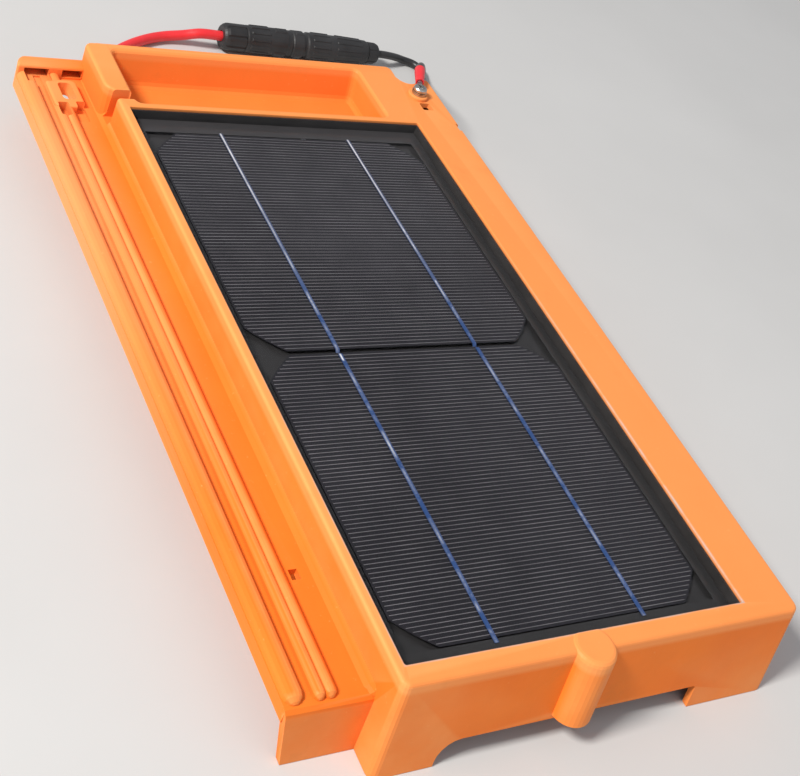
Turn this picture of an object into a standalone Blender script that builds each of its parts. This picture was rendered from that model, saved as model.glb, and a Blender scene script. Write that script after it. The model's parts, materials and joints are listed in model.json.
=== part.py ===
"""Interlocking roof tile with a two-cell photovoltaic laminate.

Metres. +X runs across the tile, +Y up the roof slope towards the head, +Z up.
The origin is the middle of the underside's bounding box, on the surface it rests on.
Lengths below are written in millimetres and become metres when a mesh is made.
"""

import math

import bmesh
import bpy
from mathutils import Matrix, Vector

MM = 0.001
GAP = 0.3

# Moulded shell
RIM_Z = 46.0
WALL = 3.0
LEFT_X = -83.5
RIGHT_X = 120.0
FRONT_Y = -191.8
HEAD_Y = 207.2
LEFT_SPREAD = 2.0
RIGHT_SPREAD = 1.5
FRONT_SPREAD = 10.4
ROUND_OVER = 1.5

# Laminate
GLASS_SIZE = (168.5, 332.5)
GLASS_CENTRE = (6.25, -15.55)
GLASS_TOP = 45.0
LEDGE_Z = 37.4
SEAL_JOINT = 1.2
CELL_SIDE = 156.0
CELL_ROUND = 100.0
CELL_GAP = 2.4
CELL_CENTRE = (5.0, -17.8)
BUSBAR_OFFSET = 37.6
RIBBON_WIDTH = 2.0

# Side interlock
FLANGE_LEFT = -121.5
FLANGE_TOP = 28.0
FLANGE_UNDER = 24.5
FLANGE_FRONT = -183.8
FLANGE_CORNER = 9.0

# Head
TROUGH = (-74.0, 74.0, 156.2, 201.2)
TROUGH_FLOOR = 27.0
POST = (-87.0, -73.9, 165.2, 206.8)
SCREW_XY = (104.0, 178.2)
BOSS_TOP = 48.0

# Junction box under the head cell
BOX = (0.0, 76.0, 115.0, 136.0)
BOX_TOP = 37.1
BOX_RIM = 26.6
LID_AXIS = (138.2, 25.4)

# Cable connector behind the tile
CONNECTOR_START = (29.5, 283.4, 8.9)
CONNECTOR_END = (137.5, 278.5, 8.9)
RED_RADIUS = 3.0
BLACK_RADIUS = 2.4
RED_INNER_RADIUS = 1.65
BLACK_INNER_RADIUS = 1.68
EXIT_XZ = (-60.0, 12.0)

ORANGE = (0.95, 0.33, 0.06)


def clear_scene():
    for item in list(bpy.data.objects):
        bpy.data.objects.remove(item, do_unlink=True)


def material(name, colour, roughness, metallic=0.0):
    found = bpy.data.materials.get(name)
    if found:
        return found
    made = bpy.data.materials.new(name)
    made.use_nodes = True
    shader = made.node_tree.nodes["Principled BSDF"]
    shader.inputs["Base Color"].default_value = (*colour, 1.0)
    shader.inputs["Roughness"].default_value = roughness
    shader.inputs["Metallic"].default_value = metallic
    return made


def add_object(name, mesh, look=None):
    made = bpy.data.objects.new(name, mesh)
    bpy.context.scene.collection.objects.link(made)
    if look:
        mesh.materials.append(look)
    return made


def mesh_from_rings(name, rings, look=None):
    """A closed solid through equal rings of points, with a flat cap at each end."""
    work = bmesh.new()
    loops = [[work.verts.new([c * MM for c in point]) for point in ring] for ring in rings]
    for lower, upper in zip(loops, loops[1:]):
        for i in range(len(lower)):
            j = (i + 1) % len(lower)
            work.faces.new((lower[i], lower[j], upper[j], upper[i]))
    work.faces.new(loops[0][::-1])
    work.faces.new(loops[-1])
    bmesh.ops.recalc_face_normals(work, faces=work.faces[:])
    bmesh.ops.triangulate(work, faces=work.faces[:])
    mesh = bpy.data.meshes.new(name)
    work.to_mesh(mesh)
    work.free()
    return add_object(name, mesh, look)


def smooth_round(item, angle=35.0):
    item.data.shade_smooth()
    item.data.set_sharp_from_angle(angle=math.radians(angle))
    return item


def hidden(item):
    item.hide_render = True
    item.display_type = "WIRE"
    return item


def combine(target, other, operation="DIFFERENCE"):
    step = target.modifiers.new(other.name, "BOOLEAN")
    step.operation = operation
    step.object = hidden(other)
    step.solver = "EXACT"
    return target


def cut(target, *others):
    for other in others:
        combine(target, other)
    return target


def join(target, *others):
    for other in others:
        combine(target, other, "UNION")
    return target


def inset_corners(corners, distance):
    """Moves a counter-clockwise polygon's sides inwards; each corner is (x, y, radius)."""
    moved = []
    for i, (x, y, radius) in enumerate(corners):
        before = corners[i - 1]
        after = corners[(i + 1) % len(corners)]
        into = Vector((x - before[0], y - before[1])).normalized()
        away = Vector((after[0] - x, after[1] - y)).normalized()
        turn = into.x * away.y - into.y * away.x
        shift = Vector((-into.y, into.x)) + Vector((-away.y, away.x))
        shift *= distance / (1.0 + into.dot(away))
        grown = radius - distance if turn > 0 else radius + distance
        moved.append((x + shift.x, y + shift.y, max(grown, 0.2)))
    return moved


def rounded(corners, steps=4):
    """Points round a polygon whose corners are (x, y, radius)."""
    points = []
    for i, (x, y, radius) in enumerate(corners):
        before = corners[i - 1]
        after = corners[(i + 1) % len(corners)]
        corner = Vector((x, y))
        back = (Vector(before[:2]) - corner).normalized()
        onward = (Vector(after[:2]) - corner).normalized()
        half = back.angle(onward) / 2
        reach = radius / math.tan(half)
        middle = corner + (back + onward).normalized() * radius / math.sin(half)
        first = corner + back * reach - middle
        last = corner + onward * reach - middle
        sweep = first.angle_signed(last)
        for step in range(steps + 1):
            arm = first.copy()
            arm.rotate(Matrix.Rotation(-sweep * step / steps, 2))
            points.append((middle.x + arm.x, middle.y + arm.y))
    return points


def rect(x0, x1, y0, y1, radius):
    return [(x0, y0, radius), (x1, y0, radius), (x1, y1, radius), (x0, y1, radius)]


def block(name, x0, x1, y0, y1, z0, z1, radius=0.0, look=None):
    if radius:
        outline = rounded(rect(x0, x1, y0, y1, radius))
    else:
        outline = [(x0, y0), (x1, y0), (x1, y1), (x0, y1)]
    return mesh_from_rings(name, [[(x, y, z) for x, y in outline] for z in (z0, z1)], look)


def edge_steps(radius, steps=3):
    """(inset, drop) pairs of a quarter round, from its side up to its top."""
    angles = [math.pi / 2 * i / steps for i in range(steps + 1)]
    return [(radius * (1 - math.cos(a)), radius * (1 - math.sin(a))) for a in angles]


def raised(name, corners, z0, z1, radius, look=None, steps=4):
    """An upright prism with its top edge rounded over."""
    rings = [[(x, y, z0) for x, y in rounded(corners, steps)]]
    for inset, drop in edge_steps(radius):
        outline = rounded(inset_corners(corners, inset), steps)
        rings.append([(x, y, z1 - drop) for x, y in outline])
    return mesh_from_rings(name, rings, look)


def pocket(name, corners, z0, z1, radius, steps=4):
    """A cutter whose mouth at z1 flares outwards and so leaves a rounded edge."""
    rings = [[(x, y, z0) for x, y in rounded(corners, steps)]]
    for outset, drop in edge_steps(radius):
        outline = rounded(inset_corners(corners, -outset), steps)
        rings.append([(x, y, z1 - drop) for x, y in outline])
    rings.append([(x, y, z1 + 6.0) for x, y, _ in rings[-1]])
    return mesh_from_rings(name, rings)


def swept_x(name, outline_yz, x0, x1, look=None):
    return mesh_from_rings(name, [[(x, y, z) for y, z in outline_yz] for x in (x0, x1)], look)


def swept_y(name, outline_xz, y0, y1, look=None):
    return mesh_from_rings(name, [[(x, y, z) for x, z in outline_xz] for y in (y0, y1)], look)


def circle(x, y, radius, count=24):
    turn = 2 * math.pi / count
    return [(x + radius * math.cos(i * turn), y + radius * math.sin(i * turn)) for i in range(count)]


def turned(name, profile, look=None, steps=28, place=None):
    """A solid of revolution round the local X axis from (along, radius) points of a closed profile."""
    work = bmesh.new()
    rows = []
    for along, radius in profile:
        if radius < 1e-6:
            rows.append([work.verts.new((along * MM, 0.0, 0.0))])
            continue
        ring = []
        for i in range(steps):
            angle = 2 * math.pi * i / steps
            spot = (along, radius * math.cos(angle), radius * math.sin(angle))
            ring.append(work.verts.new([c * MM for c in spot]))
        rows.append(ring)
    for row, following in zip(rows, rows[1:] + rows[:1]):
        for i in range(steps):
            j = (i + 1) % steps
            corners = [row[i % len(row)], row[j % len(row)]]
            corners += [following[j % len(following)], following[i % len(following)]]
            distinct = list(dict.fromkeys(corners))
            if len(distinct) > 2:
                work.faces.new(distinct)
    bmesh.ops.recalc_face_normals(work, faces=work.faces[:])
    mesh = bpy.data.meshes.new(name)
    work.to_mesh(mesh)
    work.free()
    item = smooth_round(add_object(name, mesh, look))
    if place:
        item.matrix_world = place
    return item


def upright(x, y, z=0.0):
    """Stands a turned solid up, its axis along +Z."""
    stand = Matrix.Rotation(-math.pi / 2, 4, "Y")
    return Matrix.Translation((x * MM, y * MM, z * MM)) @ stand


def smooth_route(points, spacing):
    """Evenly spaced points on a Catmull-Rom curve through a route's own points."""
    path = [Vector(p) for p in points]
    ends = [2 * path[0] - path[1]] + path + [2 * path[-1] - path[-2]]
    fine = []
    for a, b, c, d in zip(ends, ends[1:], ends[2:], ends[3:]):
        for step in range(20):
            t = step / 20
            fine.append(
                0.5 * (2 * b + (c - a) * t + (2 * a - 5 * b + 4 * c - d) * t**2)
                + 0.5 * (3 * b - a - 3 * c + d) * t**3
            )
    fine.append(path[-1])
    total = sum((q - p).length for p, q in zip(fine, fine[1:]))
    count = max(2, round(total / spacing))
    spots = [fine[0]]
    walked = 0.0
    for p, q in zip(fine, fine[1:]):
        walked += (q - p).length
        if walked >= total * len(spots) / count and len(spots) < count:
            spots.append(q)
    spots.append(fine[-1])
    return spots


def cable(name, points, radius, look):
    curve = bpy.data.curves.new(name, "CURVE")
    curve.dimensions = "3D"
    curve.bevel_depth = radius * MM
    curve.bevel_resolution = 2
    curve.use_fill_caps = True
    spots = smooth_route(points, radius * 4.5)
    line = curve.splines.new("POLY")
    line.points.add(len(spots) - 1)
    for point, spot in zip(line.points, spots):
        point.co = (*(spot * MM), 1.0)
    curve.materials.append(look)
    item = bpy.data.objects.new(name, curve)
    bpy.context.scene.collection.objects.link(item)
    return item


# ---------------------------------------------------------------- shell


def tapered(outline, z):
    """The walls lean outwards from the rim down; the front leans the most."""
    down = (RIM_Z - z) / RIM_Z
    leaning = []
    for x, y in outline:
        across = (x - LEFT_X) / (RIGHT_X - LEFT_X)
        along = (y - FRONT_Y) / (HEAD_Y - FRONT_Y)
        x += down * (across * RIGHT_SPREAD - (1 - across) * LEFT_SPREAD)
        y -= down * (1 - along) * FRONT_SPREAD
        leaning.append((x, y, z))
    return leaning


def body_corners():
    return [
        (LEFT_X, FRONT_Y, 3.5),
        (RIGHT_X, FRONT_Y, 4.0),
        (RIGHT_X, 196.2, 2.5),
        (99.0, 196.2, 0.5),
        (99.0, HEAD_Y, 4.0),
        (LEFT_X, HEAD_Y, 3.0),
    ]


def main_block():
    corners = body_corners()
    rings = [tapered(rounded(corners), 0.0)]
    for inset, drop in edge_steps(ROUND_OVER):
        rings.append(tapered(rounded(inset_corners(corners, inset)), RIM_Z - drop))
    return mesh_from_rings("tile_shell", rings, material("orange_moulding", ORANGE, 0.45))


def rib(name, x0, x1, height, crest_x, front_y):
    """A rounded rib along the flange, its nose rounded in plan and in height."""
    steps = 8
    section = []
    for i in range(steps + 1):
        share = i / steps
        angle = math.pi * share
        skew = (crest_x - (x0 + x1) / 2) * math.sin(angle)
        section.append(((x0 + x1) / 2 - (x1 - x0) / 2 * math.cos(angle) + skew, math.sin(angle) ** 0.7))
    half = (x1 - x0) / 2
    rings = []
    for share in (0.0, 0.13, 0.5, 1.0):
        width = math.sqrt(max(1 - (1 - share) ** 2, 0.04))
        y = front_y + half * share
        ring = []
        for x, lift in section:
            ring.append((crest_x + (x - crest_x) * width, y, FLANGE_TOP + height * lift * width))
        foot = [(crest_x + (x1 - crest_x) * width, y, FLANGE_TOP - 1.5)]
        foot.append((crest_x + (x0 - crest_x) * width, y, FLANGE_TOP - 1.5))
        rings.append(ring + foot)
    rings.append([(x, HEAD_Y - 4.0, z) for x, _, z in rings[-1]])
    return mesh_from_rings(name, rings)


def flange():
    """The interlock plate with its full-height front wall, as one bent plate swept along X."""
    fold = [(FLANGE_FRONT + 4 - 4 * math.cos(a), FLANGE_TOP - 4 + 4 * math.sin(a))
            for a in (0.0, math.pi / 6, math.pi / 3, math.pi / 2)]
    head = HEAD_Y - 0.3
    outline = [(head, FLANGE_TOP), (head, FLANGE_UNDER), (FLANGE_FRONT + 3.4, FLANGE_UNDER)]
    outline += [(FLANGE_FRONT - 0.8, 0.0), (FLANGE_FRONT - 4.3, 0.0)] + fold
    left = []
    for y, z in outline:
        lean = 4.5 * (1 - z / FLANGE_TOP) if y < FLANGE_FRONT + 3 else 0.0
        left.append((FLANGE_LEFT + min(lean, 4.5), y, z))
    right = [(LEFT_X + 1.5, y, z) for y, z in outline]
    plate = mesh_from_rings("flange_plate", [left, right])
    skirt = swept_y("flange_skirt", [(FLANGE_LEFT + 0.15, 21.0), (FLANGE_LEFT + 3, 21.0),
                                     (FLANGE_LEFT + 3, 26.0), (FLANGE_LEFT + 0.15, 26.0)],
                    FLANGE_FRONT + 1.5, HEAD_Y - 0.5)
    ribs = [
        rib("outer_rib", FLANGE_LEFT + 0.3, -113.0, 3.6, -116.8, -180.8),
        rib("twin_rib_left", -109.3, -103.9, 3.4, -106.8, -180.8),
        rib("twin_rib_right", -104.9, -99.3, 3.4, -102.3, -180.8),
    ]
    bend = [(2.0, 0.0), (2.0, 5.0), (-1.0, 4.7), (-2.2, 2.7), (-4.2, 1.4), (-4.2, 0.0)]
    rings = []
    for y, share in ((-183.2, 0.35), (-181.8, 0.75), (-178.5, 1.0), (HEAD_Y - 4.0, 1.0)):
        rings.append([(LEFT_X + 2 + (x - 2) * share, y, 26.5 + z * share) for x, z in bend])
    fillet = mesh_from_rings("channel_fillet", rings)
    lip = raised("head_lip", rect(FLANGE_LEFT, LEFT_X + 1, 198.2, HEAD_Y, 1.0), 25.0, 35.0, 1.5)
    pad = raised("nail_pad", rect(-109.0, -93.0, 169.2, 192.2, 3.0), 26.0, 32.0, 1.2)
    return [plate, skirt, fillet, lip, pad, *ribs]


def flange_corner():
    """What rounds off the flange's outer corner at the head."""
    radius = FLANGE_CORNER
    x, y = FLANGE_LEFT + radius, HEAD_Y - radius
    angles = [math.pi / 2 * i / 8 for i in range(9)]
    arc = [(x - radius * math.sin(a), y + radius * math.cos(a)) for a in angles]
    outline = arc + [(FLANGE_LEFT - 4, y), (FLANGE_LEFT - 4, HEAD_Y + 4), (x, HEAD_Y + 4)]
    return mesh_from_rings("flange_corner", [[(px, py, z) for px, py in outline] for z in (10.0, 50.0)])


def post():
    """The nosed post that closes the left of the head trough."""
    x0, x1, y0, y1 = POST
    return raised("trough_post", [(x0, y0, 6.2), (x1, y0, 6.2), (x1, y1, 1.0), (x0, y1, 4.0)],
                  25.5, RIM_Z + 0.12, ROUND_OVER)


def front_stud():
    """A half-round stud on the front wall that follows the wall's lean."""
    top, foot, radius = RIM_Z + 0.8, 14.0, 10.0
    lean = math.tan(math.radians(12.5))
    rings = []
    for inset, drop in [(0.0, top - foot)] + edge_steps(2.2):
        z = top - drop
        y = -189.8 - lean * (top - z)
        rings.append([(px, py, z) for px, py in circle(5.5, y, radius - inset, 32)])
    return mesh_from_rings("front_stud", rings)


def screw_boss():
    x, y = SCREW_XY
    rings = [[(px, py, 40.0) for px, py in circle(x, y, 6.3)]]
    for inset, drop in edge_steps(0.8):
        rings.append([(px, py, BOSS_TOP - drop) for px, py in circle(x, y, 6.0 - inset)])
    return mesh_from_rings("screw_boss", rings)


def laminate_box(margin):
    """x0, x1, y0, y1 of the glass, grown by margin on each side."""
    (cx, cy), (w, d) = GLASS_CENTRE, GLASS_SIZE
    return cx - w / 2 - margin, cx + w / 2 + margin, cy - d / 2 - margin, cy + d / 2 + margin


def cavity():
    """What the shell leaves open underneath, round the ledge, the trough, the ribs and the boss."""
    corners = [(LEFT_X, FRONT_Y, 3.5), (RIGHT_X, FRONT_Y, 4.0), (RIGHT_X, 190.0, 2.5),
               (95.0, 190.0, 1.0), (95.0, HEAD_Y, 4.0), (LEFT_X, HEAD_Y, 3.0)]
    outline = rounded(inset_corners(corners, WALL))
    hollow = mesh_from_rings("underside_hollow", [tapered(outline, z) for z in (-1.0, RIM_Z - WALL)])
    x0, x1, y0, y1 = laminate_box(SEAL_JOINT)
    collar = block("ledge_collar", -95.0, x1 + WALL, -215.0, y1 + 2.5, LEDGE_Z - WALL, 60.0)
    cut(collar, block("ledge_window", x0 + 7, x1 - 7, y0 + 7, y1 - 7, 20.0, 70.0))
    tx0, tx1, ty0, ty1 = TROUGH
    trough_walls = block("trough_walls", -95.0, tx1 + WALL, ty0 - 3.2, 215.0, TROUGH_FLOOR - WALL, 60.0)
    boss_post = mesh_from_rings("boss_post", [[(x, y, z) for x, y in circle(*SCREW_XY, 6.5)]
                                              for z in (38.0, 60.0)])
    cut(hollow, collar, trough_walls, boss_post)
    for i, y in enumerate((-120.0, -17.8, 75.0)):
        cut(hollow, block(f"cross_rib_{i}", -95.0, 130.0, y - 1.25, y + 1.25, 16.0, 60.0))
    return hollow


def front_opening():
    """The cut-out under the front wall, its left end rounded and its right end square."""
    left = [(-57.0 + 10 * (1 - math.cos(a)), 2.0 + 10 * math.sin(a))
            for a in [math.pi / 2 * i / 5 for i in range(6)]]
    outline = [(-57.0, -2.0)] + left + [(73.5, 12.0), (74.6, 11.5), (75.0, 10.4), (75.0, -2.0)]
    return swept_y("front_opening", outline, -220.0, -186.0)


def tile_shell():
    shell = main_block()
    join(shell, *flange(), post(), front_stud(), screw_boss())
    x0, x1, y0, y1 = laminate_box(SEAL_JOINT)
    recess = pocket("laminate_recess", rect(x0, x1, y0, y1, 1.0), LEDGE_Z, RIM_Z, 0.5)
    tx0, tx1, ty0, ty1 = TROUGH
    trough_floor = [(tx0, ty0 + 1.0), (tx1, ty0 + 1.0), (tx1, ty1 - 4.5), (tx0, ty1 - 4.5)]
    rings = []
    for z, grow, back in ((TROUGH_FLOOR, -2.2, 4.5), (28.2, -0.6, 4.1), (30.0, 0.0, 3.8), (44.6, 0.0, 0.3),
                          (45.5, 0.45, 0.0), (46.0, 1.4, 0.0), (52.0, 1.4, 0.0)):
        corners = rect(tx0 - grow, tx1 + grow, ty0 - grow, ty1 - back + grow, 3.5 + grow)
        rings.append([(x, y, z) for x, y in rounded(corners)])
    trough = mesh_from_rings("head_trough", rings)
    notch_rings = [[(x, y, z) for x, y in rounded(rect(-96.0, tx0 + 0.5, 158.2, 165.6, 1.5))]
                   for z in (29.5, 60.0)]
    drain = mesh_from_rings("drain_notch", notch_rings)
    head_notch = mesh_from_rings("head_notch", [[(x, y, z) for x, y in circle(105.5, 197.7, 7.5, 28)]
                                                for z in (-5.0, 60.0)])
    cut(shell, cavity(), recess, trough, drain, head_notch, front_opening(), flange_corner())
    cut(
        shell,
        mesh_from_rings("insert_bore", [[(x, y, z) for x, y in circle(*SCREW_XY, 3.3)] for z in (30.0, 60.0)]),
        block("nail_hole", -103.5, -96.5, 175.2, 189.2, 15.0, 60.0, 2.0),
        block("drain_hole", -96.6, -92.6, -127.8, -122.8, 15.0, 40.0),
        block("pad_recess_left", -107.5, -102.0, 163.0, 172.5, 27.0, 60.0, 1.0),
        block("pad_recess_right", -98.0, -92.5, 162.0, 173.5, 27.0, 60.0, 1.0),
        block("lip_slot_left", -118.0, -105.3, 190.0, 204.2, 29.0, 33.5),
        block("lip_slot_right", -98.1, -87.6, 193.5, 204.2, 29.0, 33.5),
        block("plate_slot", 102.0, 109.0, 165.0, 171.4, 30.0, 60.0, 0.8),
        block("edge_slot", 117.6, 130.0, 147.0, 153.0, 43.8, 60.0),
        swept_y("cable_exit", circle(*EXIT_XZ, 5.3, 20), 190.0, 220.0),
    )
    return smooth_round(shell, 30.0)


# ---------------------------------------------------------------- laminate


def cell_outline(cx, cy):
    """A pseudo-square wafer: a square cut by a round of CELL_ROUND."""
    half = CELL_SIDE / 2
    flat = math.sqrt(CELL_ROUND**2 - half**2)
    start = math.atan2(flat, half)
    sweep = math.pi / 2 - 2 * start
    points = []
    for quarter in range(4):
        for i in range(7):
            angle = quarter * math.pi / 2 + start + sweep * i / 6
            points.append((cx + CELL_ROUND * math.cos(angle), cy + CELL_ROUND * math.sin(angle)))
    return points


def ribbon(name, x, stations, look):
    """A flat strip across x, through (y, z) stations of its middle."""
    half = 0.15
    outline = [(y, z + half) for y, z in stations] + [(y, z - half) for y, z in reversed(stations)]
    return swept_x(name, outline, x - RIBBON_WIDTH / 2, x + RIBBON_WIDTH / 2, look)


def flat_run(name, boxes, z0, z1, look):
    """One flat copper strip joined from overlapping rectangles."""
    first = block(name, *boxes[0], z0, z1, look=look)
    for i, box in enumerate(boxes[1:]):
        join(first, block(f"{name}_run_{i}", *box, z0, z1))
    return first


def laminate():
    glass_look = material("solar_glass", (0.05, 0.055, 0.06), 0.06)
    clear = material("encapsulant", (0.75, 0.76, 0.76), 0.3)
    black = material("black_film", (0.02, 0.02, 0.022), 0.5)
    silicon = material("silicon_cell", (0.04, 0.045, 0.06), 0.3)
    tin = material("tinned_copper", (0.62, 0.63, 0.66), 0.3, 1.0)
    x0, x1, y0, y1 = laminate_box(0.0)
    raised("glass", rect(x0, x1, y0, y1, 1.0), 41.8, GLASS_TOP, 0.4, glass_look)
    inner = laminate_box(-0.5)
    block("front_encapsulant", *inner, 41.0, 41.5, look=clear)
    slot_left = (10.0, 22.0, 124.0, 130.0)
    slot_right = (54.0, 66.0, 124.0, 130.0)
    for name, z0, z1, look in (("rear_encapsulant", 38.4, 38.9, clear), ("backsheet", 37.7, 38.1, black)):
        layer = block(name, *inner, z0, z1, look=look)
        for side, slot in (("left", slot_left), ("right", slot_right)):
            cut(layer, block(f"{name}_slot_{side}", *slot, 30.0, 41.0))
    outer = laminate_box(SEAL_JOINT - GAP)
    seal_look = material("sealant_black", (0.03, 0.03, 0.03), 0.6)
    seal = block("sealant", *outer, LEDGE_Z + GAP, 44.6, look=seal_look)
    cut(seal, block("sealant_inside", *laminate_box(GAP), 30.0, 50.0))
    cx, cy = CELL_CENTRE
    pitch = (CELL_SIDE + CELL_GAP) / 2
    for name, y in (("head_cell", cy + pitch), ("front_cell", cy - pitch)):
        outline = cell_outline(cx, y)
        mesh_from_rings(name, [[(px, py, z) for px, py in outline] for z in (39.8, 40.1)], silicon)
    film = block("mask_film", *inner, 39.8, 40.1, look=black)
    half = CELL_SIDE / 2 + 0.6
    reach = CELL_SIDE + CELL_GAP / 2 + 0.6
    cut(film, block("mask_window", cx - half, cx + half, cy - reach, cy + reach, 35.0, 45.0))
    head_end, front_end = cy + pitch + CELL_SIDE / 2, cy - pitch - CELL_SIDE / 2
    for side, x in (("left", cx - BUSBAR_OFFSET), ("right", cx + BUSBAR_OFFSET)):
        link = [(head_end + 0.8, 40.55), (cy + 0.75, 40.55), (cy - 0.75, 39.35), (front_end + 4, 39.35)]
        ribbon(f"link_ribbon_{side}", x, link, tin)
        ribbon(f"front_ribbon_{side}", x, [(cy - 2.2, 40.55), (front_end - 2.8, 40.55)], tin)
        ribbon(f"back_ribbon_{side}", x, [(cy + 4.0, 39.35), (head_end + 1.8, 39.35)], tin)
    left, right = cx - BUSBAR_OFFSET - 2, cx + BUSBAR_OFFSET + 2
    head_bus_y = head_end + 2.1
    positive = flat_run("positive_bus", [(left, right, head_bus_y, head_bus_y + 3),
                                         (14.5, 17.5, 126.0, head_bus_y + 1)], 39.2, 39.5, tin)
    join(positive, block("positive_tab", 14.5, 17.5, 125.7, 126.2, 33.0, 39.4))
    side_x = cx + CELL_SIDE / 2 + 2.0
    negative = flat_run("negative_bus", [(left, side_x + 2.5, front_end - 4.0, front_end - 1.0),
                                         (side_x, side_x + 2.5, front_end - 3.0, 123.0),
                                         (58.5, side_x + 1, 120.0, 123.0),
                                         (58.5, 61.5, 121.0, 129.0)], 39.2, 39.5, tin)
    join(negative, block("negative_tab", 58.5, 61.5, 125.7, 126.2, 33.0, 39.4))


# ---------------------------------------------------------------- junction box


def junction_box():
    grey = material("box_plastic", (0.03, 0.03, 0.032), 0.5)
    rubber = material("black_rubber", (0.02, 0.02, 0.02), 0.7)
    brass = material("brass", (0.72, 0.55, 0.25), 0.3, 1.0)
    x0, x1, y0, y1 = BOX
    body = block("junction_box", x0, x1, y0, y1, BOX_RIM, BOX_TOP, 2.0, grey)
    cut(body, block("box_inside", x0 + 2, x1 - 2, y0 + 2, y1 - 2, 10.0, BOX_TOP - 1.6, 1.0))
    cut(body, block("box_window", 9.0, 67.0, 123.0, 131.0, 30.0, 50.0))
    for side, x in (("left", x0), ("right", x1)):
        cut(body, swept_x(f"box_port_{side}", circle(124.0, 31.8, 3.9, 20), x - 5, x + 5))
    hinge_y, hinge_z = LID_AXIS
    for i, x in enumerate((14.0, 56.0)):
        ear = swept_x(f"hinge_ear_{i}", [(135.0, 30.0), (136.4, 30.0), (hinge_y + 1.6, 27.0),
                                         (hinge_y + 1.6, 24.0), (hinge_y - 1.6, 24.0),
                                         (hinge_y - 1.6, 27.0), (135.0, 27.0)], x, x + 6)
        join(body, ear)
        cut(body, swept_x(f"hinge_bore_{i}", circle(hinge_y, hinge_z, 0.95, 14), x - 3, x + 9))
    lid = empty_at("lid_hinge", (38.0, hinge_y, hinge_z))
    cover = block("box_lid", x0 + 0.6, x1 - 0.6, y0 + 0.3, y1 - 0.3, 23.9, 25.4, 2.0, grey)
    knuckle = swept_x("lid_knuckle", [(135.0, 24.0)]
                      + [(hinge_y + 1.4 * math.sin(a), hinge_z - 1.4 * math.cos(a))
                         for a in [math.pi * i / 7 for i in range(8)]]
                      + [(hinge_y - 1.3, hinge_z + 0.1), (135.0, 25.3)], 20.4, 55.6)
    pin = swept_x("lid_pins", circle(hinge_y, hinge_z, 0.62, 12), 14.5, 61.5)
    skirt = block("lid_skirt", x0 + 2.4, x1 - 2.4, y0 + 2.4, y1 - 2.4, 25.0, 27.4, 1.0)
    cut(skirt, block("lid_skirt_inside", x0 + 4, x1 - 4, y0 + 4, y1 - 4, 20.0, 30.0, 1.0))
    join(cover, knuckle, pin, skirt)
    attach(cover, lid)
    gasket = block("box_gasket", x0 + 0.4, x1 - 0.4, y0 + 0.4, y1 - 0.4, 25.7, 26.3, 1.8, rubber)
    cut(gasket, block("gasket_inside", x0 + 1.7, x1 - 1.7, y0 + 1.7, y1 - 1.7, 20.0, 30.0, 1.0))
    for name, x in (("positive_clamp", 16.0), ("negative_clamp", 60.0)):
        clamp = block(name, x - 3.5, x + 3.5, 117.5, 125.4, 29.6, 35.0, 0.5, brass)
        cut(clamp, swept_x(f"{name}_bore", circle(121.6, 31.8, 2.0, 16), x - 9, x + 9))
    diode = turned("bypass_diode", [(-4, 0), (-4, 2.2), (-3.4, 2.6), (3.4, 2.6), (4, 2.2), (4, 0)],
                   material("diode_epoxy", (0.04, 0.04, 0.045), 0.4), 20,
                   Matrix.Translation((38.0 * MM, 121.6 * MM, 32.0 * MM)))
    for side, wire_x0, wire_x1 in (("left", 19.8, 36.0), ("right", 40.0, 56.2)):
        join(diode, swept_x(f"diode_wire_{side}", circle(121.6, 32.0, 0.5, 10), wire_x0, wire_x1))
    for name, x, turn, bore in (("red_gland", x0, math.pi, RED_RADIUS), ("black_gland", x1, 0.0, BLACK_RADIUS)):
        bore += GAP
        profile = [(-1.7, bore), (-1.7, 3.6), (0.3, 3.6), (0.3, 4.8), (3.0, 4.8), (7.5, bore + 0.9), (7.5, bore)]
        place = Matrix.Translation((x * MM, 124.0 * MM, 31.8 * MM)) @ Matrix.Rotation(turn, 4, "Z")
        turned(name, profile, rubber, 24, place)


def empty_at(name, spot):
    holder = bpy.data.objects.new(name, None)
    bpy.context.scene.collection.objects.link(holder)
    holder.location = [c * MM for c in spot]
    return holder


def attach(item, holder):
    """Parents an item to an empty without moving it."""
    bpy.context.view_layer.update()
    item.parent = holder
    item.matrix_parent_inverse = holder.matrix_world.inverted()


# ---------------------------------------------------------------- head terminal


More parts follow.
